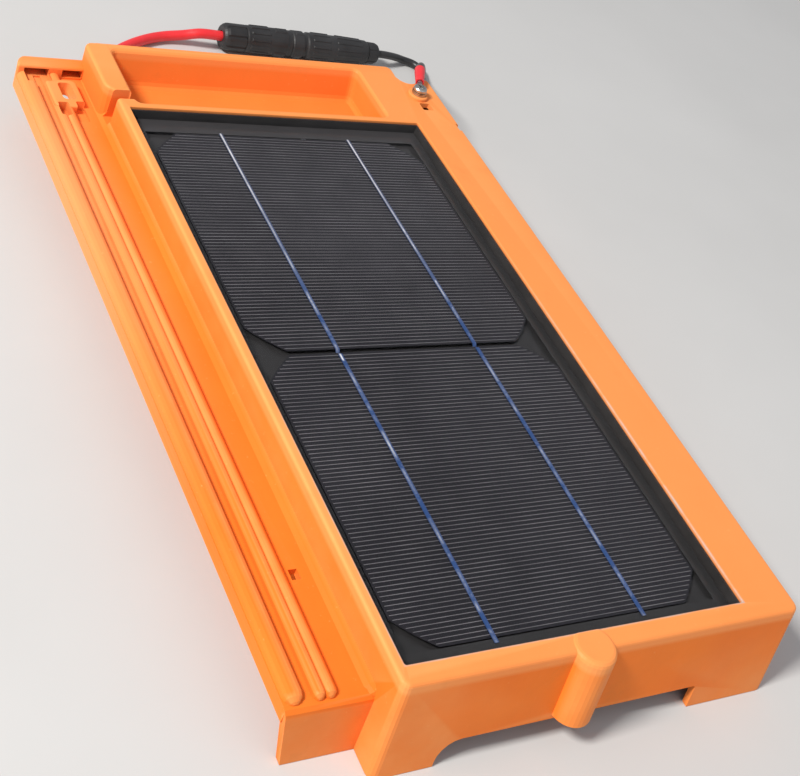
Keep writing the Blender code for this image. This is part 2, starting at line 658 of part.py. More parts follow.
def head_terminal():
    steel = material("zinc_screw", (0.62, 0.62, 0.6), 0.32, 1.0)
    tin = material("tinned_copper", (0.62, 0.63, 0.66), 0.3, 1.0)
    brass = material("brass", (0.72, 0.55, 0.25), 0.3, 1.0)
    red = material("red_sleeve", (0.75, 0.03, 0.03), 0.4)
    x, y = SCREW_XY
    turned("terminal_insert", [(40.3, 2.05), (40.3, 2.9), (47.8, 2.9), (47.8, 2.05)], brass, 20, upright(x, y))
    holder = empty_at("screw_axis", (x, y, 50.0))
    washer = turned("terminal_washer", [(49.3, 2.3), (49.3, 4.3), (49.9, 4.3), (49.9, 2.3)], steel, 28,
                    upright(x, y))
    screw = turned("terminal_screw", [(41.5, 0), (41.5, 1.3), (42.0, 1.7), (50.2, 1.7), (50.2, 3.95),
                                      (51.5, 3.95), (52.2, 3.5), (52.6, 2.6), (52.6, 0)], steel, 28,
                   upright(x, y))
    for i in range(2):
        slot = block(f"drive_slot_{i}", -2.3, 2.3, -0.45, 0.45, 51.2, 56.0)
        slot.matrix_world = Matrix.Translation((x * MM, y * MM, 0)) @ Matrix.Rotation(0.5 + i * math.pi / 2, 4, "Z")
        cut(screw, slot)
    attach(washer, holder)
    attach(screw, holder)
    heading = math.atan2(0.9, 0.45)
    place = Matrix.Translation((x * MM, y * MM, 0)) @ Matrix.Rotation(heading, 4, "Z")
    tongue = mesh_from_rings("ring_terminal", [[(px, py, z) for px, py in circle(0, 0, 4.2, 28)]
                                               for z in (48.3, 49.0)], tin)
    join(tongue, block("terminal_neck", 2.5, 8.4, -1.9, 1.9, 48.3, 49.0))
    join(tongue, swept_x("terminal_barrel", circle(0, 49.9, 1.5, 16), 7.6, 13.0))
    cut(tongue, mesh_from_rings("terminal_eye", [[(px, py, z) for px, py in circle(0, 0, 2.15, 24)]
                                                 for z in (40.0, 60.0)]))
    cut(tongue, swept_x("terminal_bore", circle(0, 49.9, 0.9, 12), 9.5, 20.0))
    tongue.matrix_world = place
    for modifier in tongue.modifiers:
        modifier.object.matrix_world = place
    turned("terminal_sleeve", [(9.4, 1.8), (9.4, 2.5), (14.0, 2.7), (20.0, 3.1), (24.0, 3.1), (24.0, 2.75),
                               (13.4, 2.75), (13.4, 1.8)], red, 24,
           place @ Matrix.Translation((0, 0, 49.9 * MM)))


# ---------------------------------------------------------------- leads and connector


def connector_place():
    start, end = Vector(CONNECTOR_START) * MM, Vector(CONNECTOR_END) * MM
    along = (end - start).normalized()
    side = Vector((0, 0, 1)).cross(along).normalized()
    up = along.cross(side)
    return Matrix.Translation(start) @ Matrix((along, side, up)).transposed().to_4x4()


def fluted(name, profile, flutes, depth, look, place):
    """A turned cable nut with grip flutes cut along its rim."""
    nut = turned(name, profile, look, 32)
    low = min(a for a, _ in profile)
    high = max(a for a, _ in profile)
    outer = max(r for _, r in profile)
    for i in range(flutes):
        angle = 2 * math.pi * (i + 0.27) / flutes
        middle = (outer + 1.2 - depth) * math.cos(angle), (outer + 1.2 - depth) * math.sin(angle)
        groove = swept_x(f"{name}_flute_{i}", circle(*middle, 1.2, 10), low - 2, high + 2)
        cut(nut, groove)
        groove.parent = nut
    nut.matrix_world = place
    return nut


def connector():
    place = connector_place()
    plastic = material("connector_plastic", (0.028, 0.028, 0.03), 0.5)
    rubber = material("black_rubber", (0.02, 0.02, 0.02), 0.7)
    tin = material("tinned_copper", (0.62, 0.63, 0.66), 0.3, 1.0)
    turned("socket_body", [(5.2, 4.6), (5.2, 6.0), (14.6, 6.0), (14.6, 7.9), (15.6, 8.3), (41.5, 8.5), (43.0, 8.1),
                           (45.2, 8.1), (45.2, 5.8), (29.0, 5.8), (29.0, 2.6), (17.0, 2.6), (17.0, 4.6)],
           plastic, 32, place)
    turned("plug_body", [(30.0, 5.4), (38.4, 5.4), (38.4, 4.7), (40.4, 4.7), (40.4, 5.4), (45.5, 5.4), (45.5, 7.8),
                         (46.2, 8.5), (53.0, 8.5), (53.6, 7.4), (55.8, 7.4), (56.6, 8.3), (80.0, 8.1), (98.0, 7.5),
                         (99.6, 6.9), (99.6, 4.9), (105.5, 4.9), (105.5, 3.9), (92.0, 3.9), (92.0, 2.6),
                         (54.0, 2.6), (54.0, 3.6), (30.0, 3.6)], plastic, 32, place)
    turned("plug_o_ring", [(38.8, 5.05), (39.4, 5.0), (40.0, 5.05), (40.1, 5.3), (39.4, 5.55), (38.7, 5.3)],
           rubber, 28, place)
    turned("contact_socket", [(17.6, 2.2), (50.0, 2.2), (50.0, 1.5), (34.0, 1.5), (34.0, 0.0), (17.6, 0.0)],
           tin, 16, place)
    turned("contact_pin", [(36.0, 0.0), (36.0, 0.7), (37.0, 1.1), (55.0, 1.1), (55.0, 2.2), (91.0, 2.2),
                           (91.0, 0.0)], tin, 16, place)
    turned("socket_seal", [(6.0, 3.35), (6.0, 4.25), (16.4, 4.25), (16.4, 3.35)], rubber, 24, place)
    turned("plug_seal", [(92.6, 2.75), (92.6, 3.55), (104.8, 3.55), (104.8, 2.75)], rubber, 24, place)
    turned("socket_clamp_ring", [(2.9, 3.5), (2.9, 6.0), (4.6, 6.0), (4.6, 3.5)], plastic, 24, place)
    turned("plug_clamp_ring", [(105.9, 2.9), (105.9, 4.9), (106.9, 4.9), (106.9, 2.9)], plastic, 24, place)
    fluted("socket_nut", [(0.0, 3.5), (0.0, 6.6), (1.2, 7.6), (3.0, 8.3), (14.2, 8.3), (14.2, 6.4), (2.5, 6.4),
                          (2.5, 3.5)], 8, 0.7, plastic, place)
    fluted("plug_nut", [(100.0, 5.3), (100.0, 6.9), (105.5, 6.7), (107.2, 6.0), (108.0, 5.0), (108.0, 2.9),
                        (107.3, 2.9), (107.3, 5.3)], 6, 0.6, plastic, place)


def on_axis(along):
    start, end = Vector(CONNECTOR_START), Vector(CONNECTOR_END)
    return tuple(start + (end - start).normalized() * along)


RED_ROUTE = [
    (EXIT_XZ[0], HEAD_Y + 1.5, EXIT_XZ[1]), (-60, 216, 12), (-60, 224, 11.9), (-59, 236, 9.3), (-55, 248.5, 6),
    (-46.5, 261, 3.8),
    (-33, 272.5, 3.3), (-19, 281, 3.3), (-6, 285.5, 3.8), (6, 285.8, 5.6), on_axis(-13), on_axis(0), on_axis(16.6),
]
BLACK_ROUTE = [
    on_axis(91.6), on_axis(106), on_axis(114), (154.5, 281.2, 6), (162.5, 282.8, 3.4), (169.5, 280, 2.8),
    (172.5, 273.2, 2.8), (169.8, 265.6, 3.6), (163, 257, 8), (153, 245, 17), (141.2, 231.2, 28.5),
    (129.8, 218.5, 39.5), (121.2, 208.6, 46.6), (115.6, 200.6, 49.7), (110.4, 190.9, 49.9),
]


def leads():
    red = material("red_cable", (0.78, 0.03, 0.035), 0.42)
    black = material("black_cable", (0.025, 0.025, 0.027), 0.45)
    rubber = material("black_rubber", (0.02, 0.02, 0.02), 0.7)
    cable("red_lead", RED_ROUTE, RED_RADIUS, red)
    cable("black_lead", BLACK_ROUTE, BLACK_RADIUS, black)
    x, z = EXIT_XZ
    inner_end = HEAD_Y + 1.5 - GAP
    cable("red_inner_lead", [(12.2, 121.8, 31.8), (6, 123.4, 31.8), (0, 124, 31.8), (-12, 124, 31.6), (-26, 126, 28),
                             (-40, 134, 21), (-52, 148, 15), (-58.5, 166, 12.3), (-60, 185, 12),
                             (-60, inner_end, 12)], RED_INNER_RADIUS, red)
    sx, sy = SCREW_XY
    cable("black_inner_lead", [(63.8, 121.8, 31.8), (70, 123.4, 31.8), (76, 124, 31.8), (86, 124.4, 31), (96, 129, 28),
                               (102.5, 140, 26), (104, 154, 26), (104, 166, 28), (104, 174.5, 32),
                               (sx, sy, 37), (sx, sy, 40.0)], BLACK_INNER_RADIUS, black)
    profile = [(-4.5, 3.3), (-4.5, 6.2), (-3.3, 6.2), (-3.3, 5.0), (0.3, 5.0), (0.3, 6.4), (2.0, 6.6), (4.0, 5.6),
               (14.0, 4.3), (14.0, 3.3)]
    turned("cable_grommet", profile, rubber, 24,
           Matrix.Translation((x * MM, HEAD_Y * MM, z * MM)) @ Matrix.Rotation(math.pi / 2, 4, "Z"))


def main():
    clear_scene()
    tile_shell()
    laminate()
    junction_box()
    head_terminal()
    connector()
    leads()


main()
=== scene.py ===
"""The looks of an interlocking photovoltaic roof tile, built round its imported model."""

import json
import math

import bmesh
import bpy
from mathutils import Matrix, Vector


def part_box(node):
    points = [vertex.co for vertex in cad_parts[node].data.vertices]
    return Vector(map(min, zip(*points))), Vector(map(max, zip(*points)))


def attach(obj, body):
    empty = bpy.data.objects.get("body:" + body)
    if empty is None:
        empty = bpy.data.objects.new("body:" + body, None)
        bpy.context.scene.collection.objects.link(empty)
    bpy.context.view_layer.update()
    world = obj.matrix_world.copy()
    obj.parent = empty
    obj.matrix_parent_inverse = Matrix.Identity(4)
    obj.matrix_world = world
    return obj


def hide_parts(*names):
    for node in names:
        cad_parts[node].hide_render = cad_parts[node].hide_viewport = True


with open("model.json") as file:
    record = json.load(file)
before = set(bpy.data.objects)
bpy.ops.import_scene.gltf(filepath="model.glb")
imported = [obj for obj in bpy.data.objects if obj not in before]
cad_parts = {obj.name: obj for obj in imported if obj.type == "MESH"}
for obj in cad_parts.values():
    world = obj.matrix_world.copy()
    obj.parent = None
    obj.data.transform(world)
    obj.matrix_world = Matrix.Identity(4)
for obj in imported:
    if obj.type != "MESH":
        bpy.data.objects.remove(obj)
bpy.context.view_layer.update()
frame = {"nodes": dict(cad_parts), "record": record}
MM = 0.001

# ---------------------------------------------------------------- camera

CAMERA_SPOT = (-0.34777, -0.39997, 0.43260)
CAMERA_RIGHT = Vector((0.84312, -0.40551, 0.35313))
CAMERA_FORWARD = Vector((0.53516, 0.56877, -0.62459))
CAMERA_LENS = 63.425
CAMERA_SENSOR = 36.0
CAMERA_NEAR = 0.01


def make_camera():
    """The photograph's viewpoint: the right and forward directions, made square to each other."""
    data = bpy.data.cameras.new("camera")
    data.lens = CAMERA_LENS
    data.sensor_width = CAMERA_SENSOR
    data.clip_start = CAMERA_NEAR
    item = bpy.data.objects.new("camera", data)
    bpy.context.scene.collection.objects.link(item)
    forward = CAMERA_FORWARD.normalized()
    right = (CAMERA_RIGHT - forward * CAMERA_RIGHT.dot(forward)).normalized()
    up = right.cross(forward)
    turn = Matrix((right, up, -forward)).transposed().to_4x4()
    item.matrix_world = Matrix.Translation(CAMERA_SPOT) @ turn
    bpy.context.scene.camera = item


# ---------------------------------------------------------------- looks


class Look:
    """A material's node tree, with short calls for the nodes that the looks share."""

    def __init__(self, name):
        self.material = bpy.data.materials.new(name)
        self.material.use_nodes = True
        self.tree = self.material.node_tree
        self.shader = self.tree.nodes["Principled BSDF"]
        self.output = self.tree.nodes["Material Output"]
        self.place = self.add("ShaderNodeTexCoord").outputs["Object"]

    def add(self, kind, **settings):
        node = self.tree.nodes.new(kind)
        for name, value in settings.items():
            setattr(node, name, value)
        return node

    def link(self, source, target):
        self.tree.links.new(source, target)

    def set(self, **values):
        """Sets the shader's own sockets, with _ for a space in the name."""
        for name, value in values.items():
            self.shader.inputs[name.replace("_", " ")].default_value = value

    def stretched(self, scale):
        """The place on the object, with each axis multiplied by its scale."""
        node = self.add("ShaderNodeMapping")
        node.inputs["Scale"].default_value = scale
        self.link(self.place, node.inputs["Vector"])
        return node.outputs["Vector"]

    def noise(self, scale, detail=4.0, rough=0.55, stretch=None):
        node = self.add("ShaderNodeTexNoise")
        node.inputs["Scale"].default_value = scale
        node.inputs["Detail"].default_value = detail
        node.inputs["Roughness"].default_value = rough
        self.link(self.stretched(stretch) if stretch else self.place, node.inputs["Vector"])
        return node.outputs["Fac"]

    def ramp(self, source, stops):
        """Maps the source through (place, colour or grey) stops."""
        node = self.add("ShaderNodeValToRGB")
        bar = node.color_ramp.elements
        while len(bar) < len(stops):
            bar.new(0.5)
        for element, (spot, colour) in zip(bar, stops):
            element.position = spot
            shade = colour if hasattr(colour, "__len__") else (colour,) * 3
            element.color = (*shade, 1.0)
        self.link(source, node.inputs["Fac"])
        return node.outputs["Color"]

    def mix(self, first, second, share, mode="MIX"):
        """Goes from first to second by share; each is a socket or a plain value."""
        node = self.add("ShaderNodeMix", data_type="RGBA", blend_type=mode)
        sockets = (node.inputs[0], node.inputs[6], node.inputs[7])
        for source, socket in zip((share, first, second), sockets):
            if isinstance(source, bpy.types.NodeSocket):
                self.link(source, socket)
            elif hasattr(source, "__len__"):
                socket.default_value = (*source, 1.0)
            else:
                socket.default_value = source
        return node.outputs[2]

    def fit(self, source, start, end, low=0.0, high=1.0):
        """Maps start..end to low..high, and holds the ends past them."""
        node = self.add("ShaderNodeMapRange")
        node.inputs["From Min"].default_value = start
        node.inputs["From Max"].default_value = end
        node.inputs["To Min"].default_value = low
        node.inputs["To Max"].default_value = high
        self.link(source, node.inputs["Value"])
        return node.outputs["Result"]

    def span(self, source, low, high):
        """Maps 0..1 to low..high."""
        return self.fit(source, 0.0, 1.0, low, high)

    def math(self, operation, *values):
        node = self.add("ShaderNodeMath", operation=operation)
        for value, socket in zip(values, node.inputs):
            if isinstance(value, bpy.types.NodeSocket):
                self.link(value, socket)
            else:
                socket.default_value = value
        return node.outputs[0]

    def times(self, first, second):
        return self.math("MULTIPLY", first, second)

    def along(self, axis):
        """The place on one axis of the object, in metres."""
        parts = self.add("ShaderNodeSeparateXYZ")
        self.link(self.place, parts.inputs[0])
        return parts.outputs[axis]

    def reach(self, axis, start, end):
        """0 up to start and 1 from end, along one axis of the object."""
        return self.fit(self.along(axis), start, end)

    def blend(self, share, first, second):
        """Mixes two shaders."""
        node = self.add("ShaderNodeMixShader")
        for source, socket in zip((share, first, second), node.inputs):
            self.link(source, socket)
        return node.outputs[0]

    def bump(self, *layers):
        """Chains bumps; each layer is (height source, depth in metres)."""
        before = None
        for source, depth in layers:
            node = self.add("ShaderNodeBump")
            node.inputs["Distance"].default_value = depth
            self.link(source, node.inputs["Height"])
            if before:
                self.link(before, node.inputs["Normal"])
            before = node.outputs["Normal"]
        self.link(before, self.shader.inputs["Normal"])

    def colour(self, source):
        self.link(source, self.shader.inputs["Base Color"])

    def rough(self, source, low, high):
        """Roughness from low to high with the source."""
        self.link(self.span(source, low, high), self.shader.inputs["Roughness"])


# Where the shell's colour changes along an axis, in metres: none of it up to the first number,
# and all of it from the second.
BLEACHED_X = (-0.088, -0.112)
BLEACHED_Y = (-0.10, 0.05)
# Painted light: the top faces turn paler above this height.
PAINTED_TOP_LIGHT_Z = (0.0405, 0.0425)
HEAD_Y = (0.150, 0.175)
SCUFFED_PAST_SEAL = (0.0013, 0.0007)
SCUFFED_Z = (0.0448, 0.0454)
SCUFFED_Y = (0.06, -0.10)
CREVICE_DEPTH = 0.007

ORANGE_DARK = (0.92, 0.192, 0.022)
ORANGE_LIGHT = (0.94, 0.232, 0.028)
BLEACHED = (1.0, 0.40, 0.165)
# Painted light on the top faces
PAINTED_TOP_LIGHT = (0.98, 0.34, 0.100)
HEAD_FADED = (0.97, 0.30, 0.075)
SPECK = (0.98, 0.45, 0.16)
WORN = (1.0, 0.42, 0.14)
SCUFFED = (0.60, 0.45, 0.38)
GRIME = (0.55, 0.20, 0.05)
# Painted shade for the crevices
CREVICE_SHADE = (0.20, 0.062, 0.022)


def opening_edge(look):
    """1 on the narrow edge of the shell round the laminate, fading out towards the head."""
    low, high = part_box("sealant")
    past = []
    for axis in (0, 1):
        off = look.math("SUBTRACT", look.along(axis), (low[axis] + high[axis]) / 2)
        past.append(look.math("SUBTRACT", look.math("ABSOLUTE", off), (high[axis] - low[axis]) / 2))
    rim = look.fit(look.math("MAXIMUM", *past), *SCUFFED_PAST_SEAL)
    upper = look.times(look.reach("Z", *SCUFFED_Z), look.reach("Y", *SCUFFED_Y))
    return look.times(rim, upper)


def moulded_orange():
    """Satin moulded plastic: flow streaks, faded and bleached parts, worn edges and grime, with
    painted light on the top faces and painted shade in the crevices.
    """
    look = Look("orange_moulding_look")
    look.set(Specular_IOR_Level=0.12)
    broad = look.noise(9.0, 5.0, 0.6)
    flow = look.noise(26.0, 6.0, 0.62, (1.0, 0.22, 1.0))
    fine = look.noise(900.0, 2.0)
    base = look.ramp(broad, [(0.3, ORANGE_DARK), (0.7, ORANGE_LIGHT)])
    streaks = look.ramp(flow, [(0.35, (0.94, 0.92, 0.90)), (0.65, (1.04, 1.05, 1.08))])
    body = look.mix(base, streaks, 0.8, "MULTIPLY")

    outer = look.times(look.reach("X", *BLEACHED_X), look.reach("Y", *BLEACHED_Y))
    bleach = look.times(outer, look.noise(7.0, 5.0, 0.6, (1.0, 0.5, 1.0)))
    # Painted light: the top faces paler, in broad patches.
    painted_top_light = look.times(look.reach("Z", *PAINTED_TOP_LIGHT_Z), look.span(broad, 0.6, 1.0))
    head = look.times(look.reach("Y", *HEAD_Y), look.span(broad, 0.25, 0.55))
    specks = look.ramp(look.noise(420.0, 3.0, 0.7), [(0.66, 0.0), (0.74, 0.35)])
    edges = look.add("ShaderNodeNewGeometry").outputs["Pointiness"]
    worn = look.times(
        look.ramp(edges, [(0.515, 0.0), (0.56, 1.0)]), look.span(look.noise(60.0), 0.1, 0.6)
    )
    patches = look.ramp(look.noise(70.0, 6.0, 0.7), [(0.35, 0.1), (0.6, 0.9)])
    scuffed = look.times(opening_edge(look), patches)
    grime = look.ramp(look.noise(34.0, 8.0, 0.72), [(0.58, 0.0), (0.78, 0.26)])
    # Painted shade: ambient occlusion darkens every crevice towards a deep shaded orange.
    crevice = look.add("ShaderNodeAmbientOcclusion", samples=6)
    crevice.inputs["Distance"].default_value = CREVICE_DEPTH
    crevice_shade = look.times(
        look.ramp(crevice.outputs["AO"], [(0.10, 0.85), (0.50, 0.0)]),
        look.span(look.noise(80.0, 6.0), 0.25, 1.0),
    )

    layers = (
        (BLEACHED, bleach), (PAINTED_TOP_LIGHT, painted_top_light), (HEAD_FADED, head), (SPECK, specks),
        (WORN, worn), (SCUFFED, scuffed), (GRIME, grime), (CREVICE_SHADE, crevice_shade),
    )
    for shade, share in layers:
        body = look.mix(body, shade, share)
    look.colour(body)
    look.rough(flow, 0.38, 0.58)
    look.bump((broad, 0.00035), (fine, 0.00003))
    return look.material


def rubbery(name, dark, light, rough=(0.5, 0.75)):
    """A matt black: moulded plastic, rubber or sealant."""
    look = Look(name)
    mottle = look.noise(55.0, 6.0)
    look.colour(look.ramp(mottle, [(0.3, dark), (0.75, light)]))
    look.rough(look.noise(120.0), *rough)
    look.bump((look.noise(700.0), 0.00004))
    return look.material


DUST = (0.5, 0.44, 0.38)
DUST_SHARE = 0.12


def cable_skin(name, dark, light):
    """Soft cable insulation with a little dust on it."""
    look = Look(name)
    look.set(Specular_IOR_Level=0.5, Coat_Weight=0.12, Coat_Roughness=0.25)
    mottle = look.noise(40.0, 5.0)
    dust = look.ramp(look.noise(160.0, 6.0, 0.7), [(0.55, 0.0), (0.8, 1.0)])
    base = look.ramp(mottle, [(0.3, dark), (0.7, light)])
    look.colour(look.mix(base, DUST, look.times(dust, DUST_SHARE)))
    look.rough(mottle, 0.32, 0.5)
    look.bump((look.noise(500.0), 0.00004))
    return look.material


# What lies under the glass carries a soft shine of its own, as a coat.
UNDER_GLASS = {"Specular_IOR_Level": 0.15, "Coat_Weight": 0.6, "Coat_Roughness": 0.16}


def silicon():
    """The cells: nearly black, faintly violet, with a fine grain."""
    look = Look("silicon_look")
    look.set(**UNDER_GLASS)
    cloud = look.noise(14.0, 5.0, 0.6)
    grain = look.noise(1300.0, 2.0)
    base = look.ramp(cloud, [(0.3, (0.0115, 0.0105, 0.0140)), (0.7, (0.0185, 0.0175, 0.0220))])
    specks = look.ramp(look.noise(800.0, 3.0, 0.75), [(0.66, 0.0), (0.78, 0.25)])
    look.colour(look.mix(base, (0.040, 0.037, 0.044), specks))
    look.rough(grain, 0.36, 0.55)
    look.bump((grain, 0.00001))
    return look.material


def silver_print():
    """The grey silver paste of the printed fingers."""
    look = Look("finger_look")
    look.set(Metallic=0.3)
    patch = look.noise(60.0, 4.0)
    look.colour(look.ramp(patch, [(0.3, (0.165, 0.155, 0.165)), (0.7, (0.30, 0.285, 0.295))]))
    look.rough(patch, 0.38, 0.55)
    look.bump((look.noise(2500.0), 0.00001))
    return look.material


# Across the ribbons, in metres
BUSBAR_MIDDLE = 0.005
BUSBAR_OFFSET = 0.0376
CORE_ASIDE = 0.0002
CORE_EDGE = (0.0003, 0.0006)

# Along them: where the painted sky reflection grows, and a painted glint on the solder below the
# gap, on the left ribbon only
SKY_REFLECTION_Y = (0.12, 0.02)
SOLDER_GLINT_FRONT_Y = (-0.0250, -0.0238)
SOLDER_GLINT_BACK_Y = (-0.0196, -0.0208)
SOLDER_GLINT_X = (0.0, -0.01)

# Painted reflection of the blue sky on the ribbons, duller at the head and brighter to the front
SKY_REFLECTION_HEAD = (0.022, 0.040, 0.125)
SKY_REFLECTION_FRONT = (0.033, 0.090, 0.27)
# Painted highlight colour of the glints
PAINTED_GLINT = (0.95, 0.95, 0.97)


def ribbon_metal():
    """Tinned ribbon: a silver core with painted glints, and a painted blue sky reflection beside it
    and more so to the front.
    """
    look = Look("ribbon_look")
    look.set(Metallic=0.2)
    across = look.math("SUBTRACT", look.along("X"), BUSBAR_MIDDLE)
    aside = look.math("SUBTRACT", look.math("ABSOLUTE", across), BUSBAR_OFFSET)
    off_centre = look.times(aside, look.math("SIGN", across))
    from_core = look.math("ABSOLUTE", look.math("ADD", off_centre, CORE_ASIDE))
    beside = look.fit(from_core, *CORE_EDGE)
    # Painted sky reflection: blue beside the silver core, and in patches growing towards the front.
    front = look.reach("Y", *SKY_REFLECTION_Y)
    patch = look.noise(46.0, 6.0, 0.7, (1.0, 1.6, 1.0))
    sky_reflection = look.times(front, look.ramp(patch, [(0.36, 0.35), (0.54, 1.0)]))
    share = look.math("MAXIMUM", sky_reflection, look.times(beside, 0.95))
    silver = look.ramp(look.noise(90.0), [(0.35, (0.60, 0.61, 0.63)), (0.65, (0.93, 0.93, 0.94))])
    metal_and_reflection = look.mix(silver, look.mix(SKY_REFLECTION_HEAD, SKY_REFLECTION_FRONT, front), share)
    # Painted highlights: white glints along the ribbons and a painted glint on the solder below the
    # gap, kept off the blue edges.
    painted_glints = look.ramp(look.noise(75.0, 3.0, 0.6, (1.0, 1.3, 1.0)), [(0.62, 0.0), (0.70, 1.0)])
    solder_glint = look.times(look.reach("Y", *SOLDER_GLINT_FRONT_Y), look.reach("Y", *SOLDER_GLINT_BACK_Y))
    solder_glint = look.times(solder_glint, look.reach("X", *SOLDER_GLINT_X))
    glint_share = look.times(look.math("MAXIMUM", painted_glints, solder_glint), look.math("SUBTRACT", 1.0, beside))
    look.colour(look.mix(metal_and_reflection, PAINTED_GLINT, glint_share))
    look.rough(patch, 0.2, 0.4)
    look.bump((look.noise(300.0, 4.0, 0.5, (1.0, 0.3, 1.0)), 0.00006))
    return look.material


FILM_DARK = (0.026, 0.025, 0.025)
FILM_LIGHT = (0.036, 0.035, 0.035)
FILM_HEAD = (0.050, 0.047, 0.048)
FILM_HEAD_Y = (0.120, 0.150)


def black_film():
    """The backing round the cells, a little paler at the head."""
    look = Look("film_look")
    look.set(**UNDER_GLASS)
    base = look.ramp(look.noise(30.0, 6.0), [(0.3, FILM_DARK), (0.7, FILM_LIGHT)])
    look.colour(look.mix(base, FILM_HEAD, look.reach("Y", *FILM_HEAD_Y)))
    look.rough(look.noise(200.0), 0.45, 0.65)
    look.bump((look.noise(120.0), 0.00002))
    return look.material


SMEAR_DIMS = 0.015
GLOSS_POWER = 5.0
GLOSS_MOST = 0.9


def see_through(name, tint, gloss_rough=None):
    """A clear sheet that dims light by tint. A glossy one mirrors at a low angle, outside only."""
    look = Look(name)
    clear = look.add("ShaderNodeBsdfTransparent")
    smear = look.noise(18.0, 6.0)
    shades = [(0.3, tuple(c - SMEAR_DIMS for c in tint)), (0.7, tint)]
    look.link(look.ramp(smear, shades), clear.inputs["Color"])
    surface = clear.outputs[0]
    if gloss_rough:
        gloss = look.add("ShaderNodeBsdfGlossy")
        uneven = look.span(smear, gloss_rough * 0.7, gloss_rough * 1.3)
        look.link(uneven, gloss.inputs["Roughness"])
        slant = look.add("ShaderNodeLayerWeight").outputs["Facing"]
        share = look.times(look.math("POWER", slant, GLOSS_POWER), GLOSS_MOST)
        inside = look.add("ShaderNodeNewGeometry").outputs["Backfacing"]
        share = look.times(share, look.math("SUBTRACT", 1.0, inside))
        surface = look.blend(share, surface, gloss.outputs[0])
    look.link(surface, look.output.inputs["Surface"])
    look.tree.nodes.remove(look.shader)
    return look.material


def metal(name, dark, light):
    """Plain metal with patches of wear."""
    look = Look(name)
    look.set(Metallic=1.0)
    patch = look.noise(220.0, 5.0)
    look.colour(look.ramp(patch, [(0.3, dark), (0.7, light)]))
    look.rough(look.noise(500.0, 4.0), 0.22, 0.45)
    look.bump((look.noise(1500.0, 3.0), 0.00002))
    return look.material


# One look for each material slot
LOOKS = {
    "orange_moulding": moulded_orange(),
    "solar_glass": see_through("glass_look", (0.975, 0.975, 0.98), 0.12),
    "encapsulant": see_through("encapsulant_look", (0.995, 0.995, 0.995)),
    "sealant": rubbery("sealant_look", (0.022, 0.020, 0.019), (0.042, 0.038, 0.036)),
    "silicon": silicon(),
    "tinned_copper": ribbon_metal(),
    "black_film": black_film(),
    "box_plastic": rubbery("box_look", (0.016, 0.016, 0.017), (0.035, 0.035, 0.037), (0.4, 0.6)),
    "black_rubber": rubbery("rubber_look", (0.010,) * 3, (0.024,) * 3, (0.6, 0.85)),
    "brass": metal("brass_look", (0.55, 0.38, 0.14), (0.78, 0.60, 0.28)),
    "red_cable": cable_skin("red_cable_look", (0.78, 0.022, 0.030), (0.90, 0.036, 0.044)),
    "black_cable": cable_skin("black_cable_look", (0.014, 0.014, 0.015), (0.034, 0.033, 0.034)),
    "zinc_steel": metal("zinc_look", (0.40, 0.40, 0.38), (0.72, 0.72, 0.69)),
    "red_sleeve": cable_skin("red_sleeve_look", (0.72, 0.020, 0.030), (0.86, 0.035, 0.045)),
    "connector_plastic": rubbery(
        "connector_look", (0.014, 0.014, 0.015), (0.036, 0.036, 0.038), (0.38, 0.6)
    ),
}

# Two more: one for the lugs and tabs of the tinned_copper slot, and one for the printed fingers
TIN_LOOK = metal("tin_look", (0.50, 0.50, 0.52), (0.80, 0.80, 0.82))
FINGER_LOOK = silver_print()


# ---------------------------------------------------------------- CAD pieces

SHARP_ANGLE = math.radians(32.0)


def dress_nodes():
    """Every carried-over node takes its slot's look, and round ones are shaded smooth."""
    slots = {part["node"]: part["material_slot"] for part in frame["record"]["subparts"]}
    for name, item in frame["nodes"].items():
        look = LOOKS[slots[name]]
        if slots[name] == "tinned_copper" and "ribbon" not in name:
            look = TIN_LOOK
        item.data.materials.clear()
        item.data.materials.append(look)
        item.data.shade_smooth()
        item.data.set_sharp_from_angle(angle=SHARP_ANGLE)
        even = item.modifiers.new("even_shading", "WEIGHTED_NORMAL")
        even.keep_sharp = True


# ---------------------------------------------------------------- new pieces

# The corners of a block are its lower four and then its upper four, each in order round it.
BLOCK_FACES = ((3, 2, 1, 0), (4, 5, 6, 7), (0, 1, 5, 4), (1, 2, 6, 5), (2, 3, 7, 6), (3, 0, 4, 7))


def add_block(work, corners):
    verts = [work.verts.new(corner) for corner in corners]
    for face in BLOCK_FACES:
        work.faces.new([verts[k] for k in face])


def object_from(name, work):
    mesh = bpy.data.meshes.new(name)
    work.to_mesh(mesh)
    work.free()
    item = bpy.data.objects.new(name, mesh)
    bpy.context.scene.collection.objects.link(item)
    return item


def finished(item, look):
    """Gives a new piece its look, and fixes it to the tile."""
    item.data.materials.append(look)
    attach(item, "tile")
    return item


FINGER_COUNT = 70
FINGER_END_SPACE = 0.4  # of the pitch, shared by the two ends of the cell
FINGER_WIDTH = 0.30 * MM
FINGER_MARGIN = 1.1 * MM
FINGER_LOW = 0.01 * MM
FINGER_HIGH = 0.04 * MM
CELL_ROUND = 100.0 * MM


